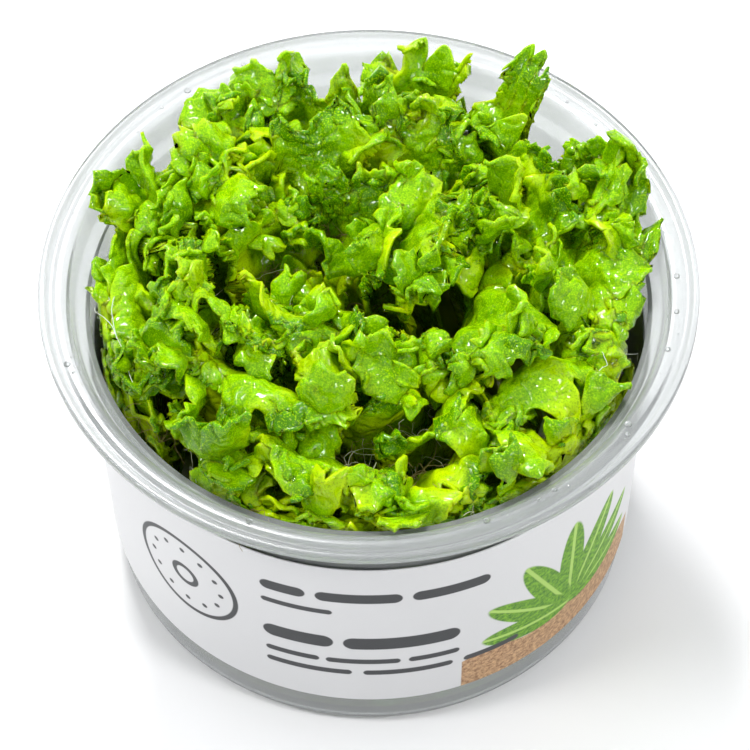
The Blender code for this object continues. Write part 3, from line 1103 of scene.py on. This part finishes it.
def lobe_sheets(points, crisped, seed, kind):
    """The surfaces of all the small lobes of one kind on one blade."""
    count, span, lengths, widths, leans = kind
    normals = grid_normals(points)
    sheets = []
    for number in range(count):
        draws = [float(random_share(number + 10.0 * part, seed + 0.7 + span[0])) for part in range(2, 7)]
        turned, leaning, slant, long, wide = draws
        row, column = crisped_spot(crisped, span, number, seed)
        root = points[row, column]
        face = normals[row, column] * (1.0 if turned > TURNED_LOBES else -1.0)
        up = unit(root - points[row - 3, column])
        side = np.cross(up, face)
        lean = np.interp(leaning, (0.0, 1.0), leans)
        rise = unit(LOBE_UPWARD * up + lean * face + (slant - 0.5) * side)
        length = np.interp(long, (0.0, 1.0), lengths) * np.interp(root[2], *SHORTENING)
        width = np.interp(wide, (0.0, 1.0), widths)
        face = unit(face - LOBE_TILT * up)
        if not in_hollow(root + LOBE_MIDDLE * length * rise):
            sheets.append(lobe_surface(root, rise, face, length, width, seed + 0.1 * number))
    return sheets


# %% Lobes as one mesh
def lobe_grid():
    """One small grid, whose faces every lobe repeats."""
    start_clean()
    bpy.ops.mesh.primitive_grid_add(x_subdivisions=LOBE_CELLS, y_subdivisions=LOBE_CELLS, size=2.0)
    piece = named("lobe_grid")
    faces = np.array([face.vertices[:] for face in piece.data.polygons])
    bpy.data.objects.remove(piece)
    return faces


LOBE_FACES = lobe_grid()
print(len(LOBE_FACES), "faces in each small lobe")


def join_lobes(blade, sheets, tone):
    """Makes all the lobes of a blade as one mesh and joins it to the blade."""
    points, margin, crisped = [np.stack(values) for values in zip(*sheets)]
    count = margin[0].size
    faces = np.concatenate([LOBE_FACES + number * count for number in range(len(sheets))])
    mesh = bpy.data.meshes.new("lobes")
    mesh.from_pydata((points * MM).reshape(-1, 3).tolist(), [], faces.tolist())
    store_looks(mesh, points, margin, crisped, tone)
    lobes = bpy.data.objects.new("lobes", mesh)
    bpy.context.collection.objects.link(lobes)
    only(blade)
    lobes.select_set(True)
    bpy.ops.object.join()


# %% A blade with its lobes
NARROW = 10.0
TONE_PACE = 5.2


def make_blade(name, blade):
    """A finished blade, from its foot radius, azimuth, width, length, twist and number."""
    width, number = blade[2], blade[5]
    points, margin, crisped = blade_surface(blade, *grid_places())
    tone = 0.5 + 0.5 * sin(TONE_PACE * number)
    piece = sheet_piece(name, points, margin, crisped, tone)
    if width > NARROW:
        sheets = []
        for kind in (SMALL_LOBES, INNER_LOBES):
            sheets += lobe_sheets(points, crisped, number, kind)
        join_lobes(piece, sheets, tone)
    thicken(piece, BLADE_THICKNESS)
    only(piece)
    bpy.ops.object.shade_smooth()
    return piece


# %% [markdown]
# ### Wet thallus tissue
# The tissue is a jelly-like sheet of cells under a film of water. Subsurface scattering, strongest in
# green, carries light through it. The colour goes from deep green, where the margin is crisped, to
# yellow green, where it is young, and a very fine noise is the cells. The same yellow green is also
# painted light: a fill light on the tissue deep in the shade, and a glow along the margin. The water
# is a coat with a water film's low IOR, and ridged wrinkles bend it, which draws the small bright
# squiggles of a wet leaf.

# %% The greens
DEEP_GREEN = colour(0.12, 0.31, 0.001)
PLAIN_GREEN = colour(0.22, 0.47, 0.001)
YELLOW_GREEN = colour(0.44, 0.63, 0.001)
CRISPED_GREEN = colour(0.07, 0.23, 0.001)
LIGHT_CELL = colour(0.42, 0.66, 0.002)
DARK_CELL = colour(0.08, 0.24, 0.001)
CELL_SCALE = 4000.0


def attribute(tree, name):
    made = tree.nodes.new("ShaderNodeAttribute")
    made.attribute_name = name
    return made.outputs["Fac"]


def tissue_colour(tree, place):
    youth_and_painted_light = attribute(tree, "youth_and_painted_light")
    crisped = attribute(tree, "crisped")
    # The yellow green end is partly young tissue and partly painted light: fill light deep in the shade and a
    # glow at the margin.
    skin = mixed(tree, smooth_step(tree, youth_and_painted_light, 0.15, 0.55), DEEP_GREEN, PLAIN_GREEN)
    skin = mixed(tree, smooth_step(tree, youth_and_painted_light, 0.55, 0.90), skin, YELLOW_GREEN)
    skin = mixed(tree, smooth_step(tree, crisped, 0.3, 1.0), skin, CRISPED_GREEN)
    cells = grain(tree, place, CELL_SCALE, 0.0)
    light_cells = maths(tree, "MULTIPLY", smooth_step(tree, cells, 0.50, 0.75), 0.65)
    dark_cells = maths(tree, "MULTIPLY", smooth_step(tree, cells, 0.48, 0.25), 0.45)
    return mixed(tree, dark_cells, mixed(tree, light_cells, skin, LIGHT_CELL), DARK_CELL)


# %% The tissue and its film of water
WRINKLE_SCALE = 330.0
FILM_DEPTH = 1.4


def wet_tissue():
    material, tree, shader = new_material("wet thallus")
    place = node(tree, "ShaderNodeTexCoord").outputs["Object"]
    fill(tree, shader, Base_Color=tissue_colour(tree, place), Roughness=0.35, Specular_IOR_Level=0.0)
    scatter(tree, shader, 0.8, (0.85, 1.0, 0.12), 1.2)
    ridges = maths(tree, "ABSOLUTE", maths(tree, "SUBTRACT", grain(tree, place, WRINKLE_SCALE, 1.0), 0.5))
    film = bumpy(tree, shader, ridges, FILM_DEPTH)
    fill(tree, shader, Coat_Weight=1.0, Coat_IOR=1.38, Coat_Roughness=0.04, Coat_Normal=film)
    return material


# %% [markdown]
# ### All the blades
# Each row below is one ring of feet on the jelly: its radius, how far its blades stand in and out of it
# by turns, and then each blade's azimuth, width and length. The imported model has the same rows. A blade
# near the axis may twist more than one by the wall, which has neighbours close on both sides.

# %% Grow them ring by ring
RINGS = (
    (3.0, 0.0, ((80, 14, 1.00), (255, 14, 0.96))),
    (9.0, 0.0, ((25, 18, 1.00), (145, 18, 0.96), (265, 18, 0.98))),
    (15.0, 0.0, ((0, 21, 1.00), (70, 21, 0.98), (143, 21, 0.94), (217, 22, 1.00), (289, 21, 0.98))),
    (21.0, 1.5, (
        (25, 25, 1.00), (70, 25, 1.02), (112, 25, 1.00), (155, 25, 0.98),
        (197, 25, 0.94), (243, 26, 1.06), (288, 25, 0.92), (335, 27, 1.05),
    )),
    (27.0, 1.5, (
        (5, 26, 1.00), (44, 24, 0.94), (78, 20, 1.02), (113, 24, 0.95), (153, 26, 0.97),
        (192, 26, 1.04), (228, 26, 0.86), (262, 24, 1.01), (293, 24, 0.88), (327, 28, 1.06),
    )),
    (33.0, 1.5, (
        (0, 22, 1.10), (29, 20, 1.08), (50, 6, 1.16), (78, 14, 1.07), (119, 13, 1.08), (145, 20, 0.97),
        (172, 24, 0.98), (201, 24, 0.98), (231, 24, 1.02), (260, 22, 0.90), (289, 22, 1.04), (323, 25, 0.96),
    )),
    (38.0, 1.2, (
        (18, 24, 1.12), (62, 22, 0.90), (105, 22, 0.90), (155, 24, 0.96),
        (202, 20, 0.89), (245, 22, 1.02), (290, 22, 1.04), (335, 24, 1.04),
    )),
)
TWIST = 80.0
MOST_TWIST = 10.0
TWIST_PACE = 3.1

tissue = wet_tissue()
blades = []
for ring, stagger, places in RINGS:
    for place, (azimuth, width, length) in enumerate(places):
        number = len(blades) + 1
        foot = ring + (stagger if place % 2 else -stagger)
        twist = radians(min(TWIST / ring, MOST_TWIST) * sin(number * TWIST_PACE))
        name = f"thallus_{number:02d}"
        blade = make_blade("blade_" + name, (foot, radians(azimuth), width, length, twist, number))
        blade.data.materials.append(tissue)
        settle(blade, "thallus", name)
        blades.append(blade)
print(len(blades), "blades,", sum(len(blade.data.polygons) for blade in blades), "faces")

# %% [markdown]
# ## Rhizoids
# A liverwort has no roots. Fine brown and white hairs grow from the underside of its thalli instead, and
# fill the gaps between them. Hair particles would have to be made real meshes, and they grow
# everywhere. A ray sent down from above finds a spot deep in a gap. From there a few hairs grow as
# chains of edges, which a curve's bevel turns into thin tubes.

# %% Rays that find spots on the bunch
rng = np.random.default_rng(7)
START_HEIGHT = 120.0
TARGET_HEIGHT = 55.0
BUNCH_REACH = 43.0
SLANT = 0.35


def spots(count):
    """Points where rays from above meet a piece, with the surface's normal and the piece."""
    layers = bpy.context.evaluated_depsgraph_get()
    found = []
    for _ in range(count):
        angle = rng.uniform(0.0, tau)
        radius = BUNCH_REACH * sqrt(rng.uniform(0.0, 1.0)) * MM
        start = Vector((radius * cos(angle), radius * sin(angle), START_HEIGHT * MM))
        tilt = Vector((rng.uniform(-SLANT, SLANT), rng.uniform(-SLANT, SLANT), -1.0)).normalized()
        start -= tilt * ((START_HEIGHT - TARGET_HEIGHT) * MM)
        hit, place, normal, _, piece, _ = bpy.context.scene.ray_cast(layers, start, tilt)
        if hit:
            found.append((place, normal if normal.dot(tilt) < 0.0 else -normal, piece))
    return found


# %% Chains and tubes
HAIR_STEP = 0.9


def hair_chain(start, heading, steps, wander, droop):
    """A hair that wanders off along its heading and bends downward."""
    chain = [start]
    for _ in range(steps):
        heading = (heading + Vector(rng.normal(0.0, wander, 3)) + Vector((0.0, 0.0, -droop))).normalized()
        chain.append(chain[-1] + heading * HAIR_STEP * MM)
    return chain


def tubes(name, chains, radius):
    """One mesh of thin tubes along chains of points."""
    points = [point for chain in chains for point in chain]
    edges = []
    first = 0
    for chain in chains:
        edges += [(first + step, first + step + 1) for step in range(len(chain) - 1)]
        first += len(chain)
    mesh = bpy.data.meshes.new(name)
    mesh.from_pydata(points, edges, [])
    piece = bpy.data.objects.new(name, mesh)
    bpy.context.collection.objects.link(piece)
    only(piece)
    bpy.ops.object.convert(target="CURVE")
    piece.data.bevel_depth = radius * MM
    piece.data.bevel_resolution = 0
    piece.data.use_fill_caps = True
    bpy.ops.object.convert(target="MESH")
    bpy.ops.object.shade_smooth()
    return piece


def hair_material(name, tint):
    material, tree, shader = new_material(name)
    fill(tree, shader, Base_Color=tint, Roughness=0.5, Specular_IOR_Level=0.3)
    return material


# %% Grow the hairs
HAIR_RAYS = 3600
HAIR_DEPTH = 53.0
HAIRS_EACH = 5
HAIR_STEPS = 8
HAIR_RADIUS = 0.045
HAIR_SUNK = 0.1
TUFT_SPREAD = 0.6
HAIR_WANDER = 0.45
HAIR_DROOP = 0.12
WHITE_EVERY = 3

deep = [spot for spot in spots(HAIR_RAYS) if spot[0].z < HAIR_DEPTH * MM and spot[2].name.startswith("blade")]
brown_chains = []
white_chains = []
for number, (place, normal, _) in enumerate(deep):
    for _ in range(HAIRS_EACH):
        heading = (normal + Vector(rng.normal(0.0, TUFT_SPREAD, 3))).normalized()
        chain = hair_chain(place - normal * HAIR_SUNK * MM, heading, HAIR_STEPS, HAIR_WANDER, HAIR_DROOP)
        (brown_chains if number % WHITE_EVERY else white_chains).append(chain)
print(len(deep), "tufts,", len(brown_chains) + len(white_chains), "hairs")
for name, chains, tint in (("brown_rhizoids", brown_chains, colour(0.26, 0.20, 0.06)),
                           ("white_rhizoids", white_chains, colour(0.75, 0.75, 0.50))):
    hairs = tubes(name, chains, HAIR_RADIUS)
    hairs.data.materials.append(hair_material(name.replace("_", " "), tint))
    settle(hairs)

# %% [markdown]
# ### Threads beside the wall
# Some rhizoids grow long and white in the damp air along the wall. They are the same chains, with more
# steps and less wander. One that would pass through the wall is held back at it.

# %% A few long threads
THREAD_ANGLES = (186, 194, 199, 205, 212, 330, 338, 346, 353)
THREAD_REACH = 39.0
THREAD_LIMIT = 41.5
THREAD_TOP = 75.0
THREAD_STEPS = 26
THREAD_RADIUS = 0.05
THREAD_LIFT = 0.4
THREAD_SLOPE = 0.3
THREAD_WANDER = 0.10
THREAD_DROOP = 0.05
FRONT_ANGLE = 270


def beside_wall(point):
    """The point itself, or the nearest one inside the cup's wall."""
    radius = sqrt(point.x ** 2 + point.y ** 2)
    share = min(1.0, THREAD_LIMIT * MM / radius)
    return Vector((point.x * share, point.y * share, point.z))


def thread_chain(angle):
    """A long hair that runs back along the bunch's side from the first blade that a ray meets."""
    layers = bpy.context.evaluated_depsgraph_get()
    across = Vector((cos(radians(angle)), sin(radians(angle)), 0.0))
    start = across * THREAD_REACH * MM + Vector((0.0, 0.0, THREAD_TOP * MM))
    place = bpy.context.scene.ray_cast(layers, start, Vector((0.0, 0.0, -1.0)))[1]
    heading = Vector((-across.y, across.x, -THREAD_SLOPE)) * (1.0 if angle > FRONT_ANGLE else -1.0)
    start = place + Vector((0.0, 0.0, THREAD_LIFT * MM))
    chain = hair_chain(start, heading.normalized(), THREAD_STEPS, THREAD_WANDER, THREAD_DROOP)
    return [beside_wall(point) for point in chain]


threads = tubes("white_threads", [thread_chain(angle) for angle in THREAD_ANGLES], THREAD_RADIUS)
threads.data.materials.append(hair_material("white threads", colour(0.72, 0.74, 0.62)))
settle(threads)

# %% [markdown]
# ## Water
# The culture is wet. Small drops sit on the thalli and on the flange. A drop on a surface is a low dome,
# and a ball that is flattened along the surface's normal looks the same once its lower half is sunk.
# One icosphere gives the form, and every drop repeats its few faces.

# %% Drops
DROP_FLATNESS = 0.55


def drops(name, seats):
    """One mesh of flattened spheres at (place, normal, radius) seats."""
    start_clean()
    bpy.ops.mesh.primitive_ico_sphere_add(subdivisions=2, radius=1.0)
    piece = named(name)
    form = np.array([vertex.co[:] for vertex in piece.data.vertices])
    faces = np.array([face.vertices[:] for face in piece.data.polygons])
    points = []
    corners = []
    for number, (place, normal, radius) in enumerate(seats):
        turn = np.array(normal.to_track_quat("Z", "Y").to_matrix())
        size = np.array((1.0, 1.0, DROP_FLATNESS)) * radius * MM
        points.append((form * size) @ turn.T + np.array(place))
        corners.append(faces + number * len(form))
    mesh = bpy.data.meshes.new(name)
    mesh.from_pydata(np.concatenate(points).tolist(), [], np.concatenate(corners).tolist())
    piece.data = mesh
    only(piece)
    bpy.ops.object.shade_smooth()
    return piece


def water():
    material, tree, shader = new_material("water")
    fill(tree, shader, Base_Color=colour(1.0, 1.0, 1.0), Transmission_Weight=1.0, Roughness=0.0, IOR=1.33)
    return material


# %% Drops on the thalli
BLADE_DROPS = 60
LEAST_BLADE_DROP = 0.16
DROP_RANGE = 0.5
BLADE_DROP_RARITY = 4

wet = water()
on_blades = [spot for spot in spots(2 * BLADE_DROPS) if spot[2].name.startswith("blade")][:BLADE_DROPS]
seats = []
for place, normal, _ in on_blades:
    seats.append((place, normal, LEAST_BLADE_DROP + DROP_RANGE * rng.uniform() ** BLADE_DROP_RARITY))
blade_drops = drops("drops_on_thalli", seats)
blade_drops.data.materials.append(wet)
settle(blade_drops)

# %% Drops on the flange
FLANGE_DROPS = 40
FLANGE_DROP_BAND = (46.2, 47.6)
DROP_SEAT = 0.06
LEAST_FLANGE_DROP = 0.15
FLANGE_DROP_RARITY = 3

seats = []
for _ in range(FLANGE_DROPS):
    angle = rng.uniform(0.0, tau)
    radius = rng.uniform(*FLANGE_DROP_BAND) * MM
    place = Vector((radius * cos(angle), radius * sin(angle), (FLANGE_HEIGHT + DROP_SEAT) * MM))
    size = LEAST_FLANGE_DROP + DROP_RANGE * rng.uniform() ** FLANGE_DROP_RARITY
    seats.append((place, Vector((0.0, 0.0, 1.0)), size))
flange_drops = drops("drops_on_flange", seats)
flange_drops.data.materials.append(wet)
settle(flange_drops)

# %% [markdown]
# ## Floor
# The photograph is a product picture on white. A wide pale floor that the light takes to full white does
# the same as a paper sweep, and still carries a faint shadow, so the cup stands on something.

# %% Floor
FLOOR_SIZE = 6.0
FLOOR_DROP = 0.0002

start_clean()
bpy.ops.mesh.primitive_plane_add(size=FLOOR_SIZE, location=(0.0, 0.0, -FLOOR_DROP))
floor = named("floor")
bpy.ops.object.transform_apply(location=True, rotation=False, scale=False)
pale, pale_tree, pale_shader = new_material("pale floor")
fill(pale_tree, pale_shader, Base_Color=colour(0.88, 0.88, 0.88), Roughness=0.9, Specular_IOR_Level=0.0)
floor.data.materials.append(pale)
print("floor", FLOOR_SIZE, "m wide")

# %% [markdown]
# ## Light
# An even, faintly cool sky fills the shadows. Three round lamps do the modelling: one behind the cup,
# whose light comes through the blades and makes them glow, and one at each side in front. They are small
# enough to leave crisp points of light on the wet skin, and large enough for soft shadows.

# %% Sky and lamps
SKY_TINT = colour(0.95, 0.97, 1.0)
SKY_STRENGTH = 0.6
LAMP_AIM = Vector((0.0, 0.0, 0.05))
LAMP_SIZE = 0.20
LAMPS = (
    ("back lamp", (-0.12, 0.42, 0.72), 6.2),
    ("left lamp", (-0.50, -0.20, 0.66), 2.6),
    ("right lamp", (0.45, -0.35, 0.62), 2.5),
)

sky = bpy.data.worlds.new("studio")
sky.use_nodes = True
fill(sky.node_tree, sky.node_tree.nodes["Background"], Color=SKY_TINT, Strength=SKY_STRENGTH)
bpy.context.scene.world = sky
for name, place, watts in LAMPS:
    start_clean()
    bpy.ops.object.light_add(type="AREA", location=place)
    lamp = bpy.context.object
    lamp.name = name
    lamp.data.shape = "DISK"
    lamp.data.size = LAMP_SIZE
    lamp.data.energy = watts
    lamp.rotation_euler = (LAMP_AIM - Vector(place)).to_track_quat("-Z", "Y").to_euler()
bpy.context.scene.view_settings.view_transform = "Standard"
print(len(LAMPS), "lamps")

# %% [markdown]
# ## Camera
# The photograph looks down at about 55 degrees with a long lens. Its distance, lens, shift and roll were
# fitted to the outlines of the rim, the wall and the base.

# %% The photograph's camera
PHOTO_PIXELS = 750
ELEVATION = radians(54.91)
DISTANCE = 0.550
AIM_HEIGHT = 0.03124
FOCAL_PIXELS = 3474.3
AIM_PIXEL = (369.9, 396.3)
ROLL = radians(-0.66)
SENSOR = 36.0

start_clean()
bpy.ops.object.camera_add()
camera = bpy.context.object
camera.name = "photo camera"
camera.data.sensor_width = SENSOR
camera.data.lens = FOCAL_PIXELS / PHOTO_PIXELS * SENSOR
camera.data.shift_x = (0.5 * PHOTO_PIXELS - AIM_PIXEL[0]) / PHOTO_PIXELS
camera.data.shift_y = (AIM_PIXEL[1] - 0.5 * PHOTO_PIXELS) / PHOTO_PIXELS
back = Vector((0.0, -cos(ELEVATION), sin(ELEVATION)))
right = Vector((1.0, 0.0, 0.0))
turn = Matrix((right, back.cross(right), back)).transposed() @ Matrix.Rotation(ROLL, 3, "Z")
camera.matrix_world = Matrix.Translation(Vector((0.0, 0.0, AIM_HEIGHT)) + DISTANCE * back) @ turn.to_4x4()
bpy.context.scene.camera = camera
print("lens", round(camera.data.lens, 1), "mm")
